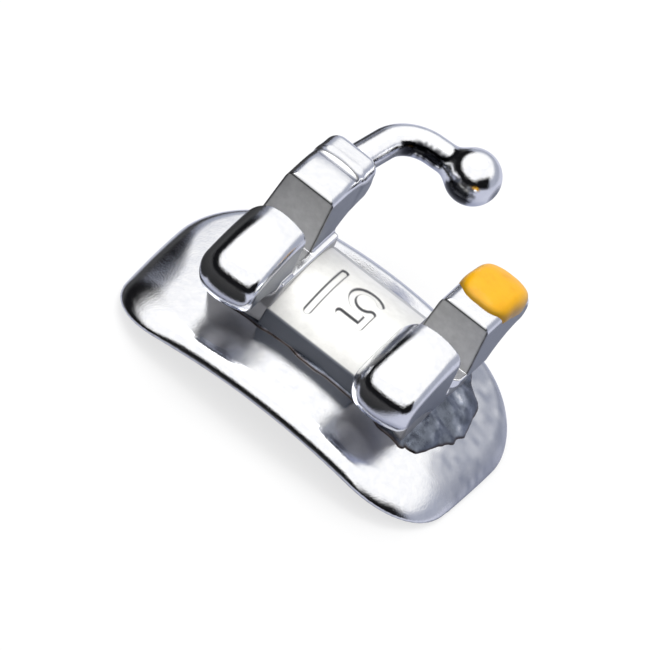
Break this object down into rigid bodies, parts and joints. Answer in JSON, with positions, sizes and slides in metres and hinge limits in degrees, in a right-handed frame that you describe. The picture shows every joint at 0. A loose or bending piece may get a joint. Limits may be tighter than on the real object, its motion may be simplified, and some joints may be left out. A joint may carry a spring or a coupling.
{
  "type": "orthodontic bracket",
  "caption": "Twin metal bracket on an arched bonding pad, with a straight archwire slot between tie wings and a ball hook on one rear wing.",
  "frame": {"origin": "under the middle of the archwire slot, at the level of the pad's lowest rim", "axes": "+X along the archwire slot, +Y towards the ball hook, +Z away from the tooth"},
  "size_m": [0.005, 0.0049, 0.0023],
  "materials": {
    "polished_steel": "tumbled and electropolished stainless steel",
    "pad_steel": "polished stainless steel with a rolled rim",
    "mesh_wire": "woven and flattened stainless wire",
    "braze_metal": "solidified braze, dull and uneven",
    "yellow_enamel": "glossy identification enamel"
  },
  "bodies": {
    "root": {"bracket_body": "polished_steel", "base_pad": "pad_steel", "bonding_mesh": "mesh_wire", "braze_skirt": "braze_metal", "colour_mark": "yellow_enamel"}
  },
  "joints": []
}
